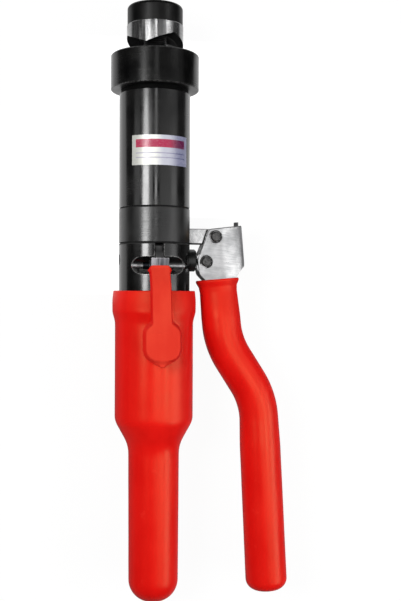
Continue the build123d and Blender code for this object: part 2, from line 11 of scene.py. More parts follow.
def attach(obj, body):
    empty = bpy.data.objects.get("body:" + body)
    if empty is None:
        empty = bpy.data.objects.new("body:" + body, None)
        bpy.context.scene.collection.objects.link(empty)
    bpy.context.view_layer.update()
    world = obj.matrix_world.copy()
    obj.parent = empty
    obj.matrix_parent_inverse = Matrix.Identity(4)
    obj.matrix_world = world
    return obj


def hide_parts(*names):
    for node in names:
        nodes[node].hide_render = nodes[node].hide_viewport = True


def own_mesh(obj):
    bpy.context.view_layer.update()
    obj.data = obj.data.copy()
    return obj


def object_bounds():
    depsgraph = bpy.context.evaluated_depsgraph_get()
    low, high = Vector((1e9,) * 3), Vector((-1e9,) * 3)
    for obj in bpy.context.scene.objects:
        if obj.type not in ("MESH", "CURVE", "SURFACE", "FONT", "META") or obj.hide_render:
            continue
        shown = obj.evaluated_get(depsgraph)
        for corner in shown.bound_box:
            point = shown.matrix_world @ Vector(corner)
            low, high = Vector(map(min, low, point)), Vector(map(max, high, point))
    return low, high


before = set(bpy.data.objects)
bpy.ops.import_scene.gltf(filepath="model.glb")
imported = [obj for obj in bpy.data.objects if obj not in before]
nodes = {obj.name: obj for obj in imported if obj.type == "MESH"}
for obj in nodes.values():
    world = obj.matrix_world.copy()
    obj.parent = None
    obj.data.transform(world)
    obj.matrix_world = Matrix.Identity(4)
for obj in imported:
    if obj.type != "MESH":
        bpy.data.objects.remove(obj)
cad_low, cad_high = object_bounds()
scene = bpy.context.scene
MM = 0.001


# ------------------------------------------------------------------ material building blocks
class Look:
    """A node material under construction: a principled shader fed by procedural nodes."""

    def __init__(self, name, **constants):
        self.mat = bpy.data.materials.new(name)
        self.mat.use_nodes = True
        self.tree = self.mat.node_tree
        self.tree.nodes.clear()
        out = self.add("ShaderNodeOutputMaterial")
        self.bsdf = self.add("ShaderNodeBsdfPrincipled")
        self.tree.links.new(self.bsdf.outputs[0], out.inputs[0])
        self.co = self.add("ShaderNodeTexCoord").outputs["Object"]
        split = self.add("ShaderNodeSeparateXYZ")
        self.put(split.inputs[0], self.co)
        self.x, self.y, self.z = split.outputs
        for key, value in constants.items():
            self.set(key.replace("_", " "), value)

    def add(self, kind, **props):
        node = self.tree.nodes.new(kind)
        for key, value in props.items():
            setattr(node, key, value)
        return node

    def put(self, socket, value):
        if isinstance(value, bpy.types.NodeSocket):
            self.tree.links.new(value, socket)
        else:
            socket.default_value = value

    def set(self, key, value):
        if isinstance(value, tuple) and len(value) == 3:
            value = (*value, 1.0)
        self.put(self.bsdf.inputs[key], value)

    def math(self, op, a, b=0.0, clamp=False):
        node = self.add("ShaderNodeMath", operation=op, use_clamp=clamp)
        self.put(node.inputs[0], a)
        self.put(node.inputs[1], b)
        return node.outputs[0]

    def plus(self, a, b):
        return self.math("ADD", a, b)

    def times(self, a, b):
        return self.math("MULTIPLY", a, b)

    def span(self, value, lo, hi, to_lo=0.0, to_hi=1.0, smooth=True):
        node = self.add("ShaderNodeMapRange", interpolation_type="SMOOTHSTEP" if smooth else "LINEAR", clamp=True)
        self.put(node.inputs[0], value)
        for i, v in enumerate((lo, hi, to_lo, to_hi)):
            self.put(node.inputs[i + 1], v)
        return node.outputs[0]

    def scaled(self, sx, sy, sz, turn=None):
        """The object coordinate, turned in plan by some degrees and then stretched."""
        v = self.co
        if turn:
            node = self.add("ShaderNodeVectorRotate", rotation_type="Z_AXIS")
            self.put(node.inputs["Vector"], v)
            node.inputs["Angle"].default_value = math.radians(turn)
            v = node.outputs[0]
        node = self.add("ShaderNodeVectorMath", operation="MULTIPLY")
        self.put(node.inputs[0], v)
        node.inputs[1].default_value = (sx, sy, sz)
        return node.outputs[0]

    def noise(self, scale, detail=3.0, rough=0.5, vector=None, distortion=0.0):
        node = self.add("ShaderNodeTexNoise")
        self.put(node.inputs["Vector"], self.co if vector is None else vector)
        node.inputs["Scale"].default_value = scale
        node.inputs["Detail"].default_value = detail
        node.inputs["Roughness"].default_value = rough
        node.inputs["Distortion"].default_value = distortion
        return node.outputs[0]

    def cells(self, scale, vector=None):
        node = self.add("ShaderNodeTexVoronoi")
        self.put(node.inputs["Vector"], self.co if vector is None else vector)
        node.inputs["Scale"].default_value = scale
        return node.outputs["Distance"]

    def mix(self, share, a, b):
        node = self.add("ShaderNodeMix", data_type="RGBA")
        self.put(node.inputs[0], share)
        for socket, value in ((node.inputs[6], a), (node.inputs[7], b)):
            self.put(socket, (*value, 1.0) if isinstance(value, tuple) else value)
        return node.outputs[2]

    def radius(self):
        """Distance from the tool's axis."""
        return self.math("SQRT", self.plus(self.times(self.x, self.x), self.times(self.z, self.z)))

    def bump(self, height, strength, distance):
        node = self.add("ShaderNodeBump")
        node.inputs["Strength"].default_value = strength
        node.inputs["Distance"].default_value = distance
        self.put(node.inputs["Height"], height)
        self.set("Normal", node.outputs[0])

    def near(self, value, at, width):
        """1 where value is within width of at, fading to 0."""
        off = self.math("ABSOLUTE", self.math("SUBTRACT", value, at))
        return self.span(off, width, width * 0.35)

    def biggest(self, *values):
        out = values[0]
        for v in values[1:]:
            out = self.math("MAXIMUM", out, v)
        return out


def black_oxide(name, dark, light, rough, edges=(), rings=2600.0, blotch=38.0, wear=0.55, gloss=0.5, seams=(), lip=None, extra=None):
    """Blued, oiled steel: turning marks round the axis, uneven tone, rubbed edges, and seam grooves painted near black
    as shade.
    """
    k = Look(name, IOR=1.5, Specular_IOR_Level=gloss)
    patch = k.noise(blotch, 5.0, 0.6)
    fine = k.noise(520.0, 4.0, 0.55)
    ring = k.noise(1.0, 3.0, 0.6, k.scaled(24.0, rings, 24.0))
    smear = k.noise(1.0, 4.0, 0.55, k.scaled(70.0, 16.0, 70.0))
    tone = k.mix(k.span(k.plus(k.times(patch, 0.7), k.times(smear, 0.3)), 0.34, 0.68), dark, light)
    outer = k.span(k.radius(), 29.30 * MM, 29.42 * MM)
    marks = [k.times(k.near(k.y, e * MM, 1.7 * MM), outer) for e in edges]
    if extra:
        marks.append(extra(k))
    roughness = k.plus(
        k.span(patch, 0.3, 0.7, rough - 0.05, rough + 0.06), k.plus(k.span(ring, 0.3, 0.7, -0.03, 0.03), k.span(smear, 0.45, 0.7, 0.0, 0.06))
    )
    if marks:
        # bare steel where edges are rubbed; with pocket_rim these marks also carry painted highlights
        rub = k.times(k.biggest(*marks), k.span(k.plus(k.times(fine, 0.6), k.times(patch, 0.4)), 0.40, 0.60, 0.0, wear))
        tone = k.mix(rub, tone, (0.30, 0.295, 0.29))
        k.set("Metallic", rub)
        roughness = k.plus(roughness, k.times(rub, 0.12))
    if seams:
        # painted shade: the seam grooves are made near black and rougher
        groove = k.times(k.biggest(*[k.near(k.y, e * MM, 3.0 * MM) for e in seams]), k.span(k.radius(), 29.40 * MM, 29.25 * MM))
        if lip:
            # painted shade: the edge beside the groove is darkened with it
            groove = k.biggest(groove, k.span(k.y, (lip - 0.15) * MM, (lip + 0.15) * MM))
        tone = k.mix(groove, tone, (0.0006, 0.0006, 0.0006))
        roughness = k.plus(roughness, k.times(groove, 0.55))
    k.set("Base Color", tone)
    k.set("Roughness", roughness)
    k.bump(k.plus(k.times(ring, 0.6), k.times(fine, 0.4)), 0.10, 0.00012)
    return k.mat


def pocket_rim(k):
    """Rubbed rim where the oval pocket and the slot above it break the pump body's skin, with painted highlights on the
    lower half of the bowl and on the slot's top corners.
    """
    dy = k.math("SUBTRACT", k.y, -175.2 * MM)
    dz = k.math("SUBTRACT", k.z, 27.9 * MM)
    off = k.math("SQRT", k.plus(k.times(dy, dy), k.times(dz, dz)))
    skin = k.span(k.radius(), 29.15 * MM, 29.4 * MM)
    oval = k.times(k.span(off, 8.00 * MM, 7.40 * MM), skin)
    # painted highlight: the lower half of the bowl is lightened where it faces the light
    bowl = k.times(k.times(k.span(off, 7.50 * MM, 7.33 * MM), k.span(k.y, -176.0 * MM, -179.0 * MM)), 0.45)
    side = k.math("ABSOLUTE", k.x)
    bevel = k.times(k.span(side, 4.45 * MM, 4.15 * MM), k.span(k.z, 28.55 * MM, 28.85 * MM))
    above = k.times(bevel, k.span(k.y, -168.6 * MM, -167.8 * MM))
    # painted highlight: glints on the slot's top corners
    corner = k.times(k.near(side, 4.0 * MM, 1.5 * MM), k.near(k.y, -157.6 * MM, 1.4 * MM))
    return k.biggest(oval, bowl, k.times(above, 0.8), corner)


def brushed(k, turn, brush, second=None):
    """Cloud and short brush strokes of a worked sheet, as one value, with the strokes on their own."""
    cloud = k.noise(95.0, 4.0, 0.55)
    stroke = k.noise(1.0, 3.0, 0.6, k.scaled(70.0, brush, brush, turn))
    if second is not None:
        other = k.noise(1.0, 3.0, 0.6, k.scaled(70.0, brush, brush, second))
        node = k.add("ShaderNodeMix", data_type="FLOAT")
        k.put(node.inputs[0], k.span(k.noise(160.0, 2.0), 0.44, 0.56))
        k.put(node.inputs[2], stroke)
        k.put(node.inputs[3], other)
        stroke = node.outputs[0]
    return k.plus(k.times(cloud, 0.6), k.times(stroke, 0.4)), stroke


def head_look():
    """Plated lever head: bright cheeks, with painted shade over the fold, farther from it, along the top and left edges
    and inside the channel, where one lit patch is painted lighter.
    """
    k = Look("zinc_sheet_brushed", Metallic=1.0)
    mixture, stroke = brushed(k, 6.0, 850.0)
    tilt = math.atan2(2.5, 30.8)
    across = k.plus(
        k.times(k.math("SUBTRACT", k.x, 74.05 * MM), math.cos(tilt)), k.times(k.math("ADD", k.y, 136.0 * MM), math.sin(tilt))
    )
    deep = k.math("ABSOLUTE", k.z)
    fold = k.span(across, -13.0 * MM, -4.5 * MM)
    far = k.span(across, -16.5 * MM, -21.5 * MM)
    inside = k.times(k.span(deep, 6.75 * MM, 6.45 * MM), k.span(across, -2.45 * MM, -2.75 * MM))
    inside = k.times(inside, k.span(k.y, -141.4 * MM, -142.4 * MM))
    top_line = k.plus(k.times(k.math("SUBTRACT", k.x, 44.9 * MM), 0.1220), -143.8 * MM)
    top = k.span(k.math("SUBTRACT", k.y, top_line), -0.95 * MM, -0.45 * MM)
    left_line = k.plus(k.times(k.math("ADD", k.y, 143.8 * MM), 0.372), 44.9 * MM)
    left = k.times(k.span(k.math("SUBTRACT", k.x, left_line), 1.0 * MM, 0.5 * MM), k.span(k.y, -166.5 * MM, -165.0 * MM))
    rim = k.times(k.span(across, -9.5 * MM, -7.0 * MM), k.span(k.noise(210.0, 3.0), 0.36, 0.62))
    pits = k.span(k.noise(1150.0, 2.0), 0.24, 0.34)
    tone = k.mix(k.span(mixture, 0.34, 0.62), (0.50, 0.505, 0.515), (0.84, 0.84, 0.845))
    # painted shade: darker farther from the fold
    tone = k.mix(k.times(far, 0.50), tone, (0.34, 0.34, 0.345))
    tone = k.mix(pits, (0.30, 0.30, 0.305), tone)
    # painted shade over the fold: mottled patches, then the whole bend
    tone = k.mix(k.times(rim, 0.45), tone, (0.40, 0.40, 0.41))
    tone = k.mix(k.times(fold, 0.50), tone, (0.30, 0.30, 0.305))
    # painted shade lines along the top and left edges
    tone = k.mix(k.biggest(k.times(top, 0.85), k.times(left, 0.6)), tone, (0.05, 0.05, 0.05))
    lit = k.times(k.span(k.math("SUBTRACT", k.x, left_line), 6.5 * MM, 4.5 * MM), k.span(k.z, -6.0 * MM, -6.3 * MM))
    lit = k.times(lit, k.span(k.y, -168.0 * MM, -163.0 * MM))
    # painted shade inside the channel, with a lit patch painted lighter
    tone = k.mix(inside, tone, k.mix(lit, (0.028, 0.027, 0.026), (0.20, 0.20, 0.20)))
    k.set("Base Color", tone)
    k.set("Roughness", k.plus(k.span(mixture, 0.3, 0.7, 0.55, 0.42), k.times(fold, 0.06)))
    k.bump(k.plus(k.times(stroke, 0.7), k.times(pits, 0.3)), 0.20, 0.00016)
    return k.mat


def lug_look():
    """Lug milled bright on its two flats and black everywhere else; on its underside this black is painted shade."""
    k = Look("milled_lug")
    mixture, stroke = brushed(k, 58.0, 1000.0, -58.0)
    fine = k.noise(900.0, 3.0)
    flat = k.times(k.span(k.math("ABSOLUTE", k.z), 6.08 * MM, 6.17 * MM), k.span(fine, 0.24, 0.34, 0.75, 1.0))
    bright = k.mix(k.span(mixture, 0.34, 0.64), (0.38, 0.38, 0.385), (0.78, 0.78, 0.78))
    dark = k.mix(k.span(fine, 0.3, 0.7), (0.006, 0.006, 0.006), (0.016, 0.016, 0.0155))
    # painted shade: the faces off the flats, the underside among them, are near black
    k.set("Base Color", k.mix(flat, dark, bright))
    k.set("Metallic", flat)
    k.set("Roughness", k.span(mixture, 0.3, 0.7, 0.52, 0.38))
    k.bump(k.plus(k.times(stroke, 0.6), k.times(fine, 0.4)), 0.24, 0.00018)
    return k.mat


def plate_look():
    """Bare release plate, faintly blued, lighter toward its left as a painted highlight, its nose painted from a
    highlight at the slot's mouth into shade inside the slot, and painted shade left of the web.
    """
    k = Look("release_plate_steel", Metallic=1.0)
    mixture, stroke = brushed(k, 90.0, 1500.0)
    nose = k.span(k.y, -169.9 * MM, -169.1 * MM)
    left = k.span(k.x, 0.5 * MM, -5.0 * MM)
    streak = k.span(k.noise(1.0, 2.0, 0.5, k.scaled(620.0, 40.0, 40.0)), 0.42, 0.62)
    tone = k.mix(k.span(mixture, 0.36, 0.62), (0.10, 0.10, 0.112), (0.265, 0.26, 0.285))
    # painted highlight: lighter toward the left
    tone = k.mix(k.times(left, 0.35), tone, (0.46, 0.455, 0.46))
    tone = k.mix(k.times(streak, 0.45), tone, (0.66, 0.63, 0.67))
    # the nose in the slot: a painted highlight at the slot's mouth, fading to painted shade deeper in
    ramp = k.mix(k.span(k.y, -168.5 * MM, -163.0 * MM), (0.74, 0.74, 0.74), (0.20, 0.20, 0.20))
    tone = k.mix(nose, tone, ramp)
    # painted shade: near black left of x = -7.25 mm
    tone = k.mix(k.span(k.x, -7.15 * MM, -7.35 * MM), tone, (0.016, 0.018, 0.022))
    k.set("Base Color", tone)
    k.set("Roughness", k.span(mixture, 0.3, 0.7, 0.46, 0.32))
    k.bump(stroke, 0.20, 0.00014)
    return k.mat


def red_vinyl(name, deep, bright, rough=0.32, level=0.32, wall=None):
    """Dipped vinyl: soft orange-peel skin, faint runs and rubbed, slightly duller patches; with wall given, painted
    shade down the sides of a flat piece.
    """
    k = Look(name, IOR=1.45, Specular_IOR_Level=level, Specular_Tint=(1.0, 0.65, 0.30))
    peel = k.noise(260.0, 2.0, 0.45)
    grain = k.noise(2300.0, 2.0, 0.5)
    cloud = k.noise(22.0, 4.0, 0.55)
    run = k.noise(1.0, 3.0, 0.5, k.scaled(150.0, 9.0, 150.0))
    scuff = k.span(k.noise(75.0, 6.0, 0.7), 0.60, 0.74)
    tone = k.mix(k.span(k.plus(k.times(cloud, 0.6), k.times(run, 0.4)), 0.36, 0.64), deep, bright)
    tone = k.mix(k.times(scuff, 0.18), tone, (0.88, 0.045, 0.03))
    if wall:
        # painted shade: the sides of a flat piece are darker than its face
        facing = k.add("ShaderNodeSeparateXYZ")
        k.put(facing.inputs[0], k.add("ShaderNodeTexCoord").outputs["Normal"])
        tone = k.mix(k.span(facing.outputs[2], 0.35, 0.85, 1.0, 0.0), tone, wall)
    k.set("Base Color", tone)
    roughness = k.plus(k.span(cloud, 0.3, 0.7, rough - 0.04, rough + 0.05), k.times(scuff, 0.10))
    # the rolled rim at the mouth of a dip dries duller
    k.set("Roughness", k.plus(roughness, k.span(k.y, -0.2150, -0.2080, 0.0, 0.16)))
    k.bump(k.plus(k.times(peel, 0.75), k.times(grain, 0.25)), 0.10, 0.00035)
    return k.mat


def plain_metal(name, low, high, rough, metal=1.0, scale=300.0):
    k = Look(name, Metallic=metal)
    cloud = k.noise(scale, 4.0, 0.55)
    fine = k.noise(scale * 6.0, 3.0, 0.5)
    k.set("Base Color", k.mix(k.span(cloud, 0.3, 0.7), low, high))
    k.set("Roughness", k.span(k.plus(k.times(cloud, 0.6), k.times(fine, 0.4)), 0.3, 0.7, rough - 0.06, rough + 0.08))
    k.bump(fine, 0.12, 0.0001)
    return k.mat


def pin_look():
    """Dark phosphated pins, mottled, with painted shade in a ring round their ends."""
    k = Look("phosphated_pin", Metallic=0.85)
    cloud = k.noise(520.0, 4.0, 0.6)
    fine = k.noise(2400.0, 3.0)
    reach = []
    for cx, cy in ((50.4, -150.2), (42.5, -171.3)):
        dx, dy = k.math("SUBTRACT", k.x, cx * MM), k.math("SUBTRACT", k.y, cy * MM)
        reach.append(k.math("SQRT", k.plus(k.times(dx, dx), k.times(dy, dy))))
    rim = k.span(k.math("MINIMUM", *reach), 3.0 * MM, 3.5 * MM)
    tone = k.mix(k.span(k.plus(k.times(cloud, 0.7), k.times(fine, 0.3)), 0.34, 0.66), (0.030, 0.030, 0.031), (0.150, 0.148, 0.145))
    # painted shade: darker in a ring round each pin end
    k.set("Base Color", k.mix(k.times(rim, 0.75), tone, (0.022, 0.022, 0.022)))
    k.set("Roughness", k.span(cloud, 0.3, 0.7, 0.42, 0.58))
    k.bump(fine, 0.12, 0.0001)
    return k.mat


def rubber(name, low, high):
    k = Look(name)
    cloud = k.noise(240.0, 4.0)
    k.set("Base Color", k.mix(k.span(cloud, 0.3, 0.7), low, high))
    k.set("Roughness", k.span(cloud, 0.3, 0.7, 0.5, 0.7))
    k.bump(k.noise(1800.0, 2.0), 0.15, 0.0001)
    return k.mat


def punch_look():
    """Black punch with a ground cutting land; the hollow underside is painted darker, as shade."""
    k = Look("punch_black_and_ground", IOR=1.5, Specular_IOR_Level=0.30)
    r = k.radius()
    patch = k.noise(60.0, 5.0, 0.6)
    fine = k.noise(700.0, 3.0)
    ring = k.noise(1.0, 3.0, 0.6, k.scaled(22.0, 5200.0, 22.0))
    hone = k.noise(1.0, 2.0, 0.6, k.scaled(420.0, 30.0, 420.0))
    land = k.times(k.span(r, 23.20 * MM, 23.33 * MM), k.span(k.y, 25.45 * MM, 25.15 * MM))
    rub = k.times(k.near(k.y, 40.9 * MM, 1.3 * MM), k.span(fine, 0.45, 0.62, 0.0, 0.45))
    black = k.mix(k.span(patch, 0.32, 0.68), (0.0007, 0.0007, 0.0008), (0.0032, 0.0031, 0.0030))
    # painted shade: the hollow underside is made darker and rougher
    hollow = k.span(r, 22.6 * MM, 22.35 * MM)
    hollow = k.times(hollow, k.span(k.y, 18.5 * MM, 17.5 * MM))
    black = k.mix(hollow, black, (0.0005, 0.0005, 0.0005))
    black = k.mix(rub, black, (0.12, 0.12, 0.12))
    steel = k.mix(k.span(k.plus(k.times(ring, 0.5), k.times(hone, 0.5)), 0.32, 0.68), (0.34, 0.34, 0.345), (0.60, 0.60, 0.60))
    k.set("Base Color", k.mix(land, black, steel))
    k.set("Metallic", k.biggest(land, rub))
    steel_rough = k.span(hone, 0.3, 0.7, 0.15, 0.26)
    node = k.add("ShaderNodeMix", data_type="FLOAT")
    k.put(node.inputs[0], land)
    k.put(node.inputs[2], k.plus(k.span(patch, 0.3, 0.7, 0.27, 0.38), k.times(hollow, 0.5)))
    k.put(node.inputs[3], steel_rough)
    k.set("Roughness", node.outputs[0])
    k.bump(k.plus(k.times(ring, 0.7), k.times(fine, 0.3)), 0.10, 0.00010)
    return k.mat


def die_look():
    """Satin black cup die; the ground cutting edge of its mouth is bare metal painted near black, as shade."""
    k = Look("die_satin_black", IOR=1.5, Specular_IOR_Level=0.22)
    r = k.radius()
    patch = k.noise(48.0, 6.0, 0.62)
    fine = k.noise(620.0, 4.0, 0.55)
    ring = k.noise(1.0, 3.0, 0.6, k.scaled(24.0, 2300.0, 24.0))
    mouth = k.times(k.span(k.y, -0.35 * MM, -0.15 * MM), k.span(r, 27.4 * MM, 26.9 * MM))
    edge = k.biggest(k.near(k.y, -0.4 * MM, 1.0 * MM), k.near(k.y, -28.4 * MM, 1.0 * MM))
    rub = k.times(k.times(edge, k.span(r, 35.0 * MM, 35.8 * MM)), k.span(fine, 0.40, 0.60, 0.0, 0.5))
    black = k.mix(k.span(patch, 0.36, 0.66), (0.0008, 0.0008, 0.0009), (0.0050, 0.0049, 0.0047))
    black = k.mix(rub, black, (0.10, 0.10, 0.098))
    # painted shade: the mouth's ground edge is bare metal made near black
    k.set("Base Color", k.mix(mouth, black, (0.030, 0.030, 0.030)))
    k.set("Metallic", k.biggest(mouth, rub))
    node = k.add("ShaderNodeMix", data_type="FLOAT")
    k.put(node.inputs[0], mouth)
    dull = k.span(k.y, -28.2 * MM, -28.6 * MM, 0.0, 0.15)
    k.put(node.inputs[2], k.plus(dull, k.plus(k.span(patch, 0.3, 0.7, 0.19, 0.28), k.span(ring, 0.3, 0.7, -0.02, 0.02))))
    k.put(node.inputs[3], k.span(fine, 0.3, 0.7, 0.2, 0.3))
    k.set("Roughness", node.outputs[0])
    k.bump(k.plus(k.times(ring, 0.5), k.times(fine, 0.5)), 0.14, 0.00014)
    return k.mat


def label_look():
    """Pale film left without words: a plain red band and two thin blue rules, with painted shade that darkens round the
    tube to the right and a little at the left edge.
    """
    k = Look("label_film_blank", IOR=1.5)
    angle = k.math("ARCTAN2", k.x, k.z)
    turn = k.math("SUBTRACT", angle, math.radians(3.3))
    side = k.math("ABSOLUTE", turn)
    inside = k.span(side, math.radians(42.5), math.radians(42.0))
    left = k.span(turn, math.radians(-46.0), math.radians(-20.0))
    middle = k.span(turn, math.radians(-14.0), math.radians(5.0))
    right = k.span(turn, math.radians(9.0), math.radians(30.0))
    band = k.times(k.times(k.span(k.y, -80.2 * MM, -80.0 * MM), k.span(k.y, -73.4 * MM, -73.6 * MM)), inside)
    rule_a = k.times(k.near(k.y, -84.6 * MM, 0.55 * MM), inside)
    rule_b = k.times(k.near(k.y, -88.3 * MM, 0.55 * MM), inside)
    cloud = k.noise(120.0, 4.0)
    ink = k.noise(900.0, 3.0)
    paper = k.mix(k.span(cloud, 0.3, 0.7), (0.74, 0.74, 0.69), (0.86, 0.86, 0.80))
    # painted shade round the tube: darker at the left edge, lavender grey past the middle, darker still to the right
    paper = k.mix(left, (0.44, 0.44, 0.41), paper)
    paper = k.mix(middle, paper, (0.48, 0.485, 0.555))
    paper = k.mix(right, paper, (0.21, 0.215, 0.315))
    # the band and the rules take the same painted shade to the right
    red = k.mix(right, (0.36, 0.012, 0.060), (0.105, 0.008, 0.050))
    paper = k.mix(k.times(band, k.span(ink, 0.2, 0.5, 0.82, 1.0)), paper, red)
    paper = k.mix(k.times(k.biggest(rule_a, rule_b), 0.8), paper, k.mix(right, (0.24, 0.22, 0.34), (0.045, 0.05, 0.15)))
    k.set("Base Color", paper)
    k.set("Roughness", k.span(cloud, 0.3, 0.7, 0.24, 0.34))
    k.bump(k.noise(420.0, 2.0), 0.05, 0.0001)
    return k.mat


# ------------------------------------------------------------------ mesh building blocks
def rounded(points, radii, turn=7.0):
    """Closed outline with rounded corners; turn is the most degrees between two points on an arc."""
    out = []
    n = len(points)
    for i, (p, r) in enumerate(zip(points, radii)):
        q = Vector(p)
        if r <= 0:
            out.append(tuple(q))
            continue
        a = (Vector(points[i - 1]) - q).normalized()
        b = (Vector(points[(i + 1) % n]) - q).normalized()
        half = math.acos(max(-1.0, min(1.0, a.dot(b)))) / 2
        centre = q + (a + b).normalized() * (r / math.sin(half))
        first = q + a * (r / math.tan(half)) - centre
        last = q + b * (r / math.tan(half)) - centre
        sweep = math.pi - 2 * half
        steps = max(2, math.ceil(math.degrees(sweep) / turn))
        sign = 1.0 if first.x * last.y - first.y * last.x > 0 else -1.0
        for s in range(steps + 1):
            t = sign * sweep * s / steps
            c, d = math.cos(t), math.sin(t)
            out.append((centre.x + first.x * c - first.y * d, centre.y + first.x * d + first.y * c))
    return out


def filled(points, longest):
    """Closed outline with extra points, so that no run is longer than longest."""
    out = []
    for i, p in enumerate(points):
        q = points[(i + 1) % len(points)]
        steps = max(1, math.ceil(math.dist(p, q) / longest))
        out += [(p[0] + (q[0] - p[0]) * s / steps, p[1] + (q[1] - p[1]) * s / steps) for s in range(steps)]
    return out


def skin(name, stations, material, loop=False):
    """A surface over rings of points, where a station of one point is a pole. A loop joins the last to the first."""
    verts, index = [], []
    for ring in stations:
        index.append(list(range(len(verts), len(verts) + len(ring))))
        verts += ring
    faces = []
    pairs = list(zip(index[:-1], index[1:])) + ([(index[-1], index[0])] if loop else [])
    for a, b in pairs:
        if len(a) == 1 and len(b) == 1:
            continue
        n = max(len(a), len(b))
        for j in range(n):
            k = (j + 1) % n
            if len(a) == 1:
                faces.append((a[0], b[k], b[j]))
            elif len(b) == 1:
                faces.append((a[j], a[k], b[0]))
            else:
                faces.append((a[j], a[k], b[k], b[j]))
    mesh = bpy.data.meshes.new(name)
    mesh.from_pydata([tuple(v) for v in verts], [], faces)
    return finish_piece(name, mesh, material)


def finish_piece(name, mesh, material, sharp=32.0):
    bm = bmesh.new()
    bm.from_mesh(mesh)
    bmesh.ops.recalc_face_normals(bm, faces=bm.faces)
    bm.to_mesh(mesh)
    bm.free()
    mesh.shade_smooth()
    mesh.set_sharp_from_angle(angle=math.radians(sharp))
    mesh.materials.clear()
    mesh.materials.append(material)
    obj = bpy.data.objects.new(name, mesh)
    scene.collection.objects.link(obj)
    return obj


def baked(obj):
    """Applies the piece's modifiers to its mesh."""
    graph = bpy.context.evaluated_depsgraph_get()
    mesh = bpy.data.meshes.new_from_object(obj.evaluated_get(graph))
    obj.modifiers.clear()
    obj.data = mesh
    return obj


# ------------------------------------------------------------------ materials
VINYL = red_vinyl("red_dipped_vinyl", (0.612, 0.0046, 0.0038), (0.672, 0.0070, 0.0051))
# the paddle's paler, more orange face with little gloss is a painted sheen of its lit face; its walls take painted
# shade
VINYL_PADDLE = red_vinyl("red_dipped_vinyl_paddle", (0.630, 0.0325, 0.0185), (0.675, 0.0460, 0.0245), 0.42, 0.05, (0.600, 0.0060, 0.0050))
BARREL = black_oxide(
    "black_oxide_barrel", (0.0028, 0.0028, 0.0030), (0.0068, 0.0066, 0.0065), 0.17, (), 3400.0
)
# painted shade: the head nut, under the die, is made near black with almost no gloss
HEAD_IN_SHADE = black_oxide("black_oxide_head_in_shade", (0.0008, 0.0008, 0.0009), (0.0022, 0.0022, 0.0021), 0.58, gloss=0.035)
BASE = black_oxide(
    "black_oxide_base", (0.0038, 0.0038, 0.0040), (0.0098, 0.0095, 0.0093), 0.31, (), 2200.0, seams=(-126.9, -156.6), lip=-128.05
)
PUMP = black_oxide(
    "black_oxide_pump", (0.0009, 0.0009, 0.0010), (0.0028, 0.0027, 0.0026), 0.19, (), 3000.0, wear=0.60, seams=(-156.6,), lip=-157.75, extra=pocket_rim
)
GLAND = black_oxide("black_oxide_gland", (0.0030, 0.0030, 0.0032), (0.0095, 0.0093, 0.0090), 0.34, rings=1200.0)
PUNCH = punch_look()
DIE = die_look()
LABEL = label_look()
ZINC = head_look()
LUG = lug_look()
PLATE = plate_look()
PIN = pin_look()
CLIP = plain_metal("phosphated_clip", (0.018, 0.018, 0.019), (0.075, 0.074, 0.072), 0.50, 0.85, 760.0)
CROSS_PIN = plain_metal("cross_pin_steel", (0.30, 0.30, 0.305), (0.52, 0.52, 0.525), 0.38, 1.0, 420.0)
GROUND = plain_metal("ground_steel", (0.45, 0.45, 0.455), (0.66, 0.66, 0.665), 0.20, 1.0, 380.0)
STEEL = plain_metal("turned_steel", (0.22, 0.22, 0.225), (0.36, 0.36, 0.36), 0.34, 1.0, 300.0)
BALL = plain_metal("ball_steel", (0.58, 0.58, 0.585), (0.72, 0.72, 0.72), 0.10, 1.0, 500.0)
SPRING = plain_metal("spring_wire", (0.16, 0.155, 0.15), (0.30, 0.29, 0.28), 0.33, 1.0, 700.0)
BRONZE = plain_metal("bearing_bronze", (0.34, 0.19, 0.07), (0.50, 0.29, 0.12), 0.34, 1.0, 420.0)
SEAL = rubber("seal_rubber", (0.006, 0.006, 0.006), (0.016, 0.016, 0.016))
BLADDER = rubber("bladder_rubber", (0.010, 0.010, 0.011), (0.022, 0.022, 0.023))

node_looks = {
    "cylinder_barrel": BARREL, "head_nut": HEAD_IN_SHADE, "cylinder_base": BASE, "pump_body": PUMP, "gland_nut": GLAND,
    "punch": PUNCH, "die": DIE, "blank_label": LABEL, "lever_head": ZINC, "pivot_lug": LUG, "pivot_pin": PIN,
    "plunger_pin": PIN, "pin_clips": CLIP, "lug_dowel": GROUND, "pump_plunger": GROUND, "release_pin": CROSS_PIN,
    "release_lever": PLATE, "piston": GROUND, "draw_stud": BARREL, "handle_housing": STEEL, "lever_tube": STEEL,
    "lever_spigot": STEEL, "suction_seat": STEEL, "delivery_plug": STEEL, "relief_screw": GLAND, "filler_plug": STEEL,
    "bladder_clamp": STEEL, "passage_plugs": STEEL, "release_spindle": GROUND, "suction_ball": BALL,
    "delivery_ball": BALL, "relief_ball": BALL, "release_ball": BALL, "return_spring": SPRING, "suction_spring": SPRING,
    "delivery_spring": SPRING, "relief_spring": SPRING, "release_spring": SPRING, "pivot_bush": BRONZE,
    "release_bush": BRONZE, "plunger_spacers": CLIP, "piston_wear_ring": BRONZE, "rod_seal": SEAL, "rod_wiper": SEAL,
    "head_oring": SEAL, "base_oring": SEAL, "pump_oring": SEAL, "piston_seal": SEAL, "plunger_seal": SEAL,
    "plunger_wiper": SEAL, "oil_bladder": BLADDER, "handle_sleeve": VINYL, "lever_grip": VINYL,
    "release_paddle": VINYL_PADDLE,
}
for name, obj in nodes.items():
    obj.data.materials.clear()
    obj.data.materials.append(node_looks[name])

# ------------------------------------------------------------------ dipped sleeve on the fixed handle
SEGS = 160


def wave(x, y, z, size, seed):
    """Smooth wander between -1 and 1."""
    return noise.noise(Vector((x / size + seed, y / size - seed, z / size + 2 * seed)))


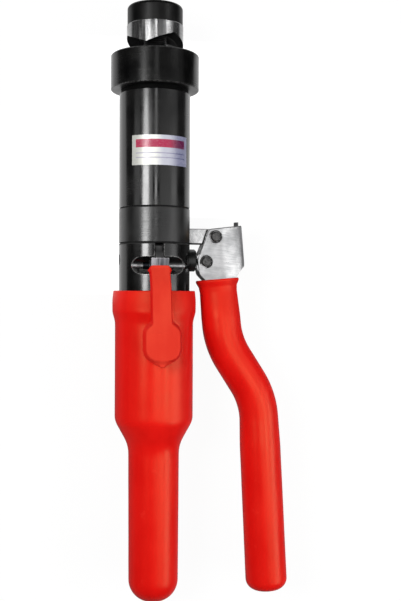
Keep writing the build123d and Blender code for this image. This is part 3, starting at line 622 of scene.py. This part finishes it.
def sleeve():
    outer = [
        (29.62, -195.6), (34.1, -195.6), (34.9, -203.5), (34.8, -213.5), (32.6, -221.5), (32.65, -303.6), (21.2, -324.4),
        (20.6, -454.2), (0.0, -454.2), (0.0, -444.3), (17.25, -444.3), (17.25, -330.2), (29.62, -300.2),
    ]
    radii = [0.4, 0.8, 40.0, 12.0, 18.0, 16.0, 28.0, 18.0, 0, 0, 0, 0, 0]
    line = filled(rounded(outer, radii, 6.0), 3.0)
    stations = []
    for r, y in line:
        if r < 1e-6:
            stations.append([(0.0, y * MM, 0.0)])
            continue
        inner = (y > -444.0 and r < 17.5) or (r < 29.7 and -300.5 < y < -196.6)
        ring = []
        for j in range(SEGS):
            a = 2 * math.pi * j / SEGS
            x, z = r * math.sin(a), r * math.cos(a)
            dr = dy = 0.0
            if not inner:
                dr = -0.06 + 0.06 * wave(x, y, z, 34.0, 3.1) + 0.03 * wave(x, y, z, 9.0, 7.7)
                if y > -199.0:
                    dy = -0.10 + 0.16 * wave(x, 0.0, z, 17.0, 5.3)
            k = (r + dr) / r
            ring.append((x * k * MM, (y + dy) * MM, z * k * MM))
        stations.append(ring)
    return skin("handle_sleeve_dip", stations, VINYL, loop=True)


piece = sleeve()
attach(piece, "body")
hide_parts("handle_sleeve")

# ------------------------------------------------------------------ dipped grip on the pump lever
LEVER_A, LEVER_B, LEVER_C, LEVER_D = (53.7, -185.0), (59.3, -239.5), (89.8, -287.0), (98.0, -449.6)
BEND_R = 65.0


def lever_line():
    """Lever centreline as straight runs and arcs: function of distance -> (point, direction), and its length."""
    pts = [Vector(p) for p in (LEVER_A, LEVER_B, LEVER_C, LEVER_D)]
    runs, at = [], pts[0]
    for i in (1, 2):
        q = pts[i]
        a = (pts[i - 1] - q).normalized()
        b = (pts[i + 1] - q).normalized()
        half = math.acos(a.dot(b)) / 2
        back = BEND_R / math.tan(half)
        start, end = q + a * back, q + b * back
        runs.append(("line", at.copy(), -a, (start - at).length))
        centre = q + (a + b).normalized() * (BEND_R / math.sin(half))
        sign = 1.0 if (start - centre).cross(end - centre) > 0 else -1.0
        runs.append(("arc", centre, start - centre, BEND_R * (math.pi - 2 * half), sign))
        at = end
    runs.append(("line", at.copy(), (pts[3] - at).normalized(), (pts[3] - at).length))
    total = sum(r[3] for r in runs)

    def place(s):
        for n, run in enumerate(runs):
            if s <= run[3] or n == len(runs) - 1:
                break
            s -= run[3]
        if run[0] == "line":
            return run[1] + run[2] * s, run[2]
        t = run[4] * s / BEND_R
        c, d = math.cos(t), math.sin(t)
        v = Vector((run[2].x * c - run[2].y * d, run[2].x * d + run[2].y * c))
        return run[1] + v, Vector((-v.y, v.x)).normalized() * run[4]

    return place, total


def grip():
    place, total = lever_line()
    bend_end = 0.0
    for s in range(0, int(total)):
        if place(float(s))[1].x > 0.2:
            bend_end = float(s)
    join = bend_end + 10.0
    outline = [
        (13.5, 6.8), (17.0, 0.45), (17.7, 0.35), (18.3, 1.1), (18.3, 2.3), (16.3, 6.3), (15.8, 11.0), (16.55, 32.0), (16.6, join),
        (17.4, join + 22.0), (17.7, total), (0.0, total), (0.0, total - 8.0), (13.46, total - 8.0), (13.46, 21.0),
    ]
    radii = [3.0, 0.4, 0.3, 0.5, 1.0, 3.0, 12.0, 40.0, 60.0, 200.0, 9.0, 0, 0, 0, 0]
    line = filled(rounded(outline, radii, 6.0), 2.6)
    stations = []
    for r, s in line:
        p, d = place(max(0.0, s))
        if r < 1e-6:
            stations.append([(p.x * MM, p.y * MM, 0.0)])
            continue
        n = Vector((-d.y, d.x))
        inner = r < 13.6 and s > 7.0
        ring = []
        for j in range(SEGS):
            a = 2 * math.pi * j / SEGS
            k = r
            if not inner:
                x, y, z = p.x + n.x * r * math.cos(a), p.y + n.y * r * math.cos(a), r * math.sin(a)
                k += -0.06 + 0.06 * wave(x, y, z, 30.0, 11.3) + 0.03 * wave(x, y, z, 8.0, 4.9)
            # the coat was dipped a little askew, so its rim sits lower on the outer side
            low = 0.2 * (1 + math.cos(a)) * min(1.0, max(0.0, (14.0 - s) / 10.0))
            ring.append(
                (
                    (p.x + d.x * low + n.x * k * math.cos(a)) * MM,
                    (p.y + d.y * low + n.y * k * math.cos(a)) * MM,
                    k * math.sin(a) * MM,
                )
            )
        stations.append(ring)
    return skin("lever_grip_dip", stations, VINYL, loop=True)


piece = grip()
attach(piece, "pump_lever")
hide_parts("lever_grip")
piece.visible_glossy = False


# ------------------------------------------------------------------ dipped release paddle
def slab(bm, outline, low, high, axis="Z"):
    """Prism over an outline. Z: outline is (x, y). X: outline is (y, z), spread from x low to high."""
    rows = []
    for level in (low, high):
        if axis == "Z":
            rows.append([bm.verts.new((x * MM, y * MM, level * MM)) for x, y in outline])
        else:
            rows.append([bm.verts.new((level * MM, y * MM, z * MM)) for y, z in outline])
    n = len(outline)
    bm.faces.new(rows[0])
    bm.faces.new(list(reversed(rows[1])))
    for i in range(n):
        k = (i + 1) % n
        bm.faces.new((rows[0][i], rows[1][i], rows[1][k], rows[0][k]))


def drafted(bm, loops):
    """Closed body over loops of points, from its underside up; all loops have the same count."""
    rows = [[bm.verts.new((x * MM, y * MM, z * MM)) for x, y, z in loop] for loop in loops]
    n = len(rows[0])
    bm.faces.new(rows[0])
    bm.faces.new(list(reversed(rows[-1])))
    for a, b in zip(rows[:-1], rows[1:]):
        for i in range(n):
            k = (i + 1) % n
            bm.faces.new((a[i], b[i], b[k], a[k]))


def between(table, y):
    """Value at y in a table of (y, value) that runs down the tool."""
    for (a, u), (b, v) in zip(table[:-1], table[1:]):
        if y >= b:
            return u + (v - u) * min(1.0, max(0.0, (a - y) / (a - b)))
    return table[-1][1]


def paddle():
    """Strap and thumb pad under one dipped coat: the strap rises straight into the pad, and all walls lean in."""
    bm = bmesh.new()
    under_line = [(-174.9, 32.0), (-178.1, 32.1), (-178.8, 29.9), (-191.8, 36.7), (-226.0, 43.5), (-256.5, 46.3)]
    over_line = [(-174.9, 34.9), (-177.2, 35.0), (-191.0, 41.9), (-227.5, 49.5), (-256.5, 51.85)]
    base = [
        (-175.4, 6.9), (-176.0, 7.8), (-177.0, 8.5), (-178.7, 9.7), (-179.7, 10.15), (-180.5, 9.2), (-181.5, 8.6), (-215.0, 8.85),
        (-232.0, 9.0),
    ]
    crown = [(-175.4, 6.3), (-176.2, 7.1), (-177.5, 7.4), (-184.0, 7.2), (-216.0, 7.3), (-232.0, 7.6)]

    def under(y):
        return between(under_line, y)

    def over(y):
        return sum(between(over_line, y + d) for d in (-4.0, -2.0, 0.0, 2.0, 4.0)) / 5

    stations = []
    y = -175.4
    while y > -231.0:
        u, o = under(y), between(over_line, y) if y > -180.0 else over(y)
        b, c = between(base, y), between(crown, y)
        right = [(b - 0.7, u), (b, u + 0.8), (c + 0.25, o - 0.5), (c - 0.35, o)]
        stations.append([(x, y, z) for x, z in right] + [(-x, y, z) for x, z in reversed(right)])
        y -= 0.65
    drafted(bm, stations)
    half = [
        (8.7, -219.4), (11.6, -221.9), (14.2, -224.6), (15.45, -227.6), (15.68, -231.0), (15.68, -243.0), (14.3, -247.4),
        (12.1, -250.2), (9.2, -252.3), (4.6, -254.8), (2.3, -256.2),
    ]
    face = [
        (7.3, -222.0), (9.9, -223.9), (12.3, -226.2), (13.35, -228.6), (13.5, -231.4), (13.5, -242.4), (12.3, -246.0),
        (10.5, -248.4), (7.6, -250.2), (3.5, -251.0), (1.2, -251.3),
    ]

    def loop(points, inset, level, aside=0.0):
        pts = [(x + aside, y) for x, y in points] + [(aside - x, y) for x, y in reversed(points)]
        centre = Vector((0.0, -238.5))
        out = []
        for p in pts:
            v = Vector(p) - centre
            q = centre + v * (1 - inset / v.length)
            out.append((q.x, q.y, level(q.y)))
        return out

    drafted(
        bm,
        [
            loop(half, 1.0, under), loop(half, 0.0, lambda y: under(y) + 1.0), loop(face, -0.10, lambda y: over(y) - 0.5, 0.35),
            loop(face, 0.55, over, 0.35),
        ],
    )
    drip = [(2.0, -253.2), (2.4, -255.2), (1.4, -256.5)]
    drafted(bm, [loop(drip, 0.4, lambda y: under(y) + 0.6), loop(drip, 0.0, lambda y: under(y) + 2.2), loop(drip, 0.8, lambda y: under(y) + 3.0)])
    bmesh.ops.recalc_face_normals(bm, faces=bm.faces)
    mesh = bpy.data.meshes.new("release_paddle_dip")
    bm.to_mesh(mesh)
    bm.free()
    obj = bpy.data.objects.new("release_paddle_dip", mesh)
    scene.collection.objects.link(obj)
    remesh = obj.modifiers.new("coat", "REMESH")
    remesh.mode = "VOXEL"
    remesh.voxel_size = 0.40 * MM
    smooth = obj.modifiers.new("flow", "SMOOTH")
    smooth.factor = 0.5
    smooth.iterations = 5
    baked(obj)
    mesh = obj.data
    for v in mesh.vertices:
        x, y, z = v.co / MM
        v.co.z += MM * (0.05 * wave(x, y, z, 12.0, 2.2) - 0.04)
    mesh.shade_smooth()
    mesh.materials.clear()
    mesh.materials.append(VINYL_PADDLE)
    return obj


piece = paddle()
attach(piece, "release")
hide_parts("release_paddle")


# ------------------------------------------------------------------ coil springs, copied onto the body
def coil(name):
    """Copy of a spring's wire, carried by the body in place of the node."""
    obj = bpy.data.objects.new(name + "_coil", nodes[name].data.copy())
    scene.collection.objects.link(obj)
    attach(obj, "body")
    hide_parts(name)
    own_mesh(obj)


coil("return_spring")
coil("suction_spring")
coil("delivery_spring")
coil("relief_spring")
coil("release_spring")


# ------------------------------------------------------------------ threaded draw stud
def stud():
    pitch, depth, segs = 1.6, 0.85, 72
    rows = [(0.0, -56.0), (8.7, -56.0), (9.5, -55.2), (9.5, -20.4)]
    y = -20.0
    while y < 42.2:
        rows.append((None, y))
        y += pitch / 8
    rows += [(8.6, 42.7), (8.5, 43.3), (5.0, 43.3), (4.5, 43.7), (4.5, 50.3), (3.8, 51.0), (0.0, 51.0)]
    stations = []
    for r, y in rows:
        if r == 0.0:
            stations.append([(0.0, y * MM, 0.0)])
            continue
        ring = []
        for j in range(segs):
            a = 2 * math.pi * j / segs
            if r is None:
                phase = (y / pitch - j / segs) % 1.0
                flank = min(1.0, max(0.0, (abs(phase - 0.5) * 2 - 0.12) / 0.76))
                fade = min(1.0, (y + 20.0) / 3.0, (42.6 - y) / 2.0)
                k = 9.5 - depth * flank * max(0.0, fade) - (0.9 * (1 - (42.6 - y) / 2.0) if y > 40.6 else 0.0)
            else:
                k = r
            ring.append((k * math.sin(a) * MM, y * MM, k * math.cos(a) * MM))
        stations.append(ring)
    return skin("draw_stud_thread", stations, STUD)


def stud_look():
    k = Look("stud_oiled_steel", IOR=1.5, Specular_IOR_Level=0.12)
    r = k.radius()
    cloud = k.noise(210.0, 4.0)
    crest = k.span(r, 9.05 * MM, 9.45 * MM)
    dark = k.mix(k.span(cloud, 0.3, 0.7), (0.0022, 0.0022, 0.0024), (0.0080, 0.0079, 0.0076))
    k.set("Base Color", k.mix(k.times(crest, k.span(cloud, 0.35, 0.6, 0.25, 0.8)), dark, (0.024, 0.024, 0.0245)))
    k.set("Roughness", k.span(cloud, 0.3, 0.7, 0.46, 0.62))
    k.bump(k.noise(1400.0, 2.0), 0.1, 0.0001)
    return k.mat


STUD = stud_look()
piece = stud()
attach(piece, "ram")
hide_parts("draw_stud")


# ------------------------------------------------------------------ sheet and pressed parts with broken edges
def softened(node, name, width, material, segments=3, angle=38.0):
    """Copy of a node's solid with its sharp edges rounded over."""
    bm = bmesh.new()
    bm.from_mesh(nodes[node].data)
    bmesh.ops.remove_doubles(bm, verts=bm.verts, dist=2e-6)
    bmesh.ops.dissolve_limit(
        bm, angle_limit=math.radians(0.4), verts=bm.verts, edges=bm.edges, use_dissolve_boundaries=False, delimit={"NORMAL"}
    )
    edges = [e for e in bm.edges if len(e.link_faces) == 2 and e.calc_face_angle(0.0) > math.radians(angle)]
    bmesh.ops.bevel(
        bm, geom=edges, offset=width * MM, offset_type="OFFSET", segments=segments, profile=0.5, affect="EDGES", clamp_overlap=True
    )
    mesh = bpy.data.meshes.new(name)
    bm.to_mesh(mesh)
    bm.free()
    for key in ("custom_normal",):
        if key in mesh.attributes:
            mesh.attributes.remove(mesh.attributes[key])
    return finish_piece(name, mesh, material, 40.0)


for node, body, width, look, slot in (
    ("lever_head", "pump_lever", 0.55, ZINC, "zinc_plate"),
    ("pivot_lug", "body", 0.35, LUG, "zinc_plate"),
    ("release_lever", "release", 0.30, PLATE, "zinc_plate"),
):
    piece = softened(node, node + "_edged", width, look)
    piece.visible_glossy = body == "release"
    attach(piece, body)
    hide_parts(node)

# ------------------------------------------------------------------ floor, light, camera
floor_z = cad_low.z
bm = bmesh.new()
bmesh.ops.create_grid(bm, x_segments=8, y_segments=8, size=30.0)
mesh = bpy.data.meshes.new("floor")
bm.to_mesh(mesh)
bm.free()
floor = bpy.data.objects.new("floor", mesh)
floor.location = (0.0, -0.2, floor_z)
scene.collection.objects.link(floor)
k = Look("pale_floor", Roughness=0.8, Emission_Color=(1.0, 1.0, 1.0), Specular_IOR_Level=0.0)
k.set("Base Color", k.mix(k.noise(3.0, 3.0), (0.045, 0.045, 0.045), (0.055, 0.055, 0.055)))
# the floor looks evenly pale; what it throws back at the tool is strongest in a pool of light under the tool's upper half
along = k.math("SUBTRACT", k.y, 0.2)
left = k.span(k.math("SUBTRACT", k.x, k.times(along, 0.33)), -0.145, -0.100)
right = k.span(k.plus(k.x, k.times(along, 0.30)), 0.190, 0.145)
near_side = k.span(along, -0.212, -0.193, 0.14, 1.18)
far_side = k.plus(k.span(along, -0.137, -0.128, 0.06, 1.18), k.span(along, -0.225, -0.245, 0.0, 0.12))
share = k.span(k.x, 0.0, 0.012)
level = k.plus(k.times(near_side, k.math("SUBTRACT", 1.0, share)), k.times(far_side, share))
pool = k.times(k.times(k.times(left, right), level), k.span(along, 0.018, 0.036, 1.0, 0.5))
k.set("Emission Strength", k.biggest(pool, k.times(k.add("ShaderNodeLightPath").outputs["Is Camera Ray"], 0.95)))
mesh.materials.append(k.mat)

world = bpy.data.worlds.new("studio")
scene.world = world
world.use_nodes = True
tree = world.node_tree
tree.nodes.clear()
sky_out = tree.nodes.new("ShaderNodeOutputWorld")
seen = tree.nodes.new("ShaderNodeBackground")
seen.inputs[0].default_value = (0.93, 0.93, 0.93, 1.0)
dim = tree.nodes.new("ShaderNodeBackground")
dim.inputs[0].default_value = (0.05, 0.05, 0.05, 1.0)
path = tree.nodes.new("ShaderNodeLightPath")
pick = tree.nodes.new("ShaderNodeMixShader")
tree.links.new(path.outputs["Is Camera Ray"], pick.inputs[0])
tree.links.new(dim.outputs[0], pick.inputs[1])
tree.links.new(seen.outputs[0], pick.inputs[2])
tree.links.new(pick.outputs[0], sky_out.inputs[0])


def panel(name, tilt, distance, y0, y1, width, radiance, lean=0.0, shape="RECTANGLE", gloss=True, matt=True):
    """Soft flat lamp above the tool; tilt is degrees from straight up, toward +X. It faces the tool's axis."""
    data = bpy.data.lights.new(name, "AREA")
    data.shape = shape
    data.size = width
    data.size_y = y1 - y0
    data.energy = radiance * math.pi * width * (y1 - y0) * (math.pi / 4 if shape == "ELLIPSE" else 1.0)
    obj = bpy.data.objects.new(name, data)
    t = math.radians(tilt)
    out = Vector((math.sin(t), 0.0, math.cos(t)))
    side = Vector((math.cos(t), 0.0, -math.sin(t)))
    up = Vector((0.0, 1.0, 0.0))
    basis = Matrix((side, up, out)).transposed().to_4x4()
    obj.matrix_world = (
        Matrix.Translation(out * distance + Vector((0.0, (y0 + y1) / 2, 0.0))) @ basis @ Matrix.Rotation(math.radians(lean), 4, "Z")
    )
    obj.visible_camera = False
    obj.visible_glossy = gloss
    obj.visible_diffuse = matt
    scene.collection.objects.link(obj)


panel("key", -36.7, 1.15, -0.27, 0.22, 0.40, 19.0, -18.0, "ELLIPSE")
panel("key_soft", -22.5, 1.15, -0.18, 0.20, 0.32, 2.6, -10.0, "ELLIPSE")
panel("key_top", -36.0, 1.15, 0.32, 0.55, 0.26, 1.3)
panel("halo", -66.0, 1.20, -0.07, 0.18, 0.42, 1.3)
panel("thin", -3.7, 1.60, -0.12, 0.16, 0.14, 8.5)
panel("thin_top", -3.7, 1.60, 0.16, 0.62, 0.13, 4.0)
panel("fill_low", 39.0, 1.45, -1.05, -0.30, 1.75, 1.75)
panel("fill", 39.0, 1.45, -0.30, 0.10, 1.75, 1.15)
# strips that draw the lines of light down the two red handles, and light nothing else
panel("strip", 29.0, 1.45, -0.50, -0.30, 0.18, 25.0, matt=False)
panel("strip_wide", 2.0, 1.45, -0.47, -0.32, 0.54, 13.0, matt=False)
handles = bpy.data.collections.new("handles")
for piece in ("handle_sleeve_dip", "lever_grip_dip"):
    handles.objects.link(bpy.data.objects[piece])
for lamp in ("strip", "strip_wide"):
    bpy.data.objects[lamp].light_linking.receiver_collection = handles
panel("fill_mid", 39.0, 1.45, 0.10, 0.27, 1.75, 0.60)
panel("fill_top", 39.0, 1.45, 0.27, 0.60, 1.75, 0.18)
panel("fill_end", 45.5, 1.45, 0.405, 0.462, 1.12, 0.62)
panel("fill_cap", 46.0, 1.45, 0.480, 0.66, 0.42, 4.2)
panel("side", 56.0, 1.30, -1.05, -0.160, 0.48, 3.6)
panel("side_top", 56.0, 1.30, -0.04, 0.12, 0.40, 1.2)
# washes that only even out the matt colours
panel("wash_left", -74.0, 1.20, -0.46, -0.16, 0.40, 7.6, gloss=False)
panel("wash_right", 74.0, 1.20, -0.58, -0.16, 0.40, 4.6, gloss=False)

camera = bpy.data.objects.new("camera", bpy.data.cameras.new("camera"))
scene.collection.objects.link(camera)
scene.camera = camera
roll, spin = math.radians(11.0), math.radians(0.22)
right0, up0 = Vector((math.cos(roll), 0.0, math.sin(roll))), Vector((0.0, 1.0, 0.0))
back = Vector((-math.sin(roll), 0.0, math.cos(roll)))
right = right0 * math.cos(spin) + up0 * math.sin(spin)
up = up0 * math.cos(spin) - right0 * math.sin(spin)
camera.matrix_world = Matrix.Translation(Vector((-0.10985, -0.19904, 0.76673)) + right * 0.00029) @ Matrix((right, up, back)).transposed().to_4x4()
camera.data.sensor_width = 36.0
camera.data.lens = 925.0 / 601.0 * 36.0
camera.data.shift_y = -5.5 / 601.0
camera.data.clip_start, camera.data.clip_end = 0.01, 100.0
scene.view_settings.view_transform = "Standard"
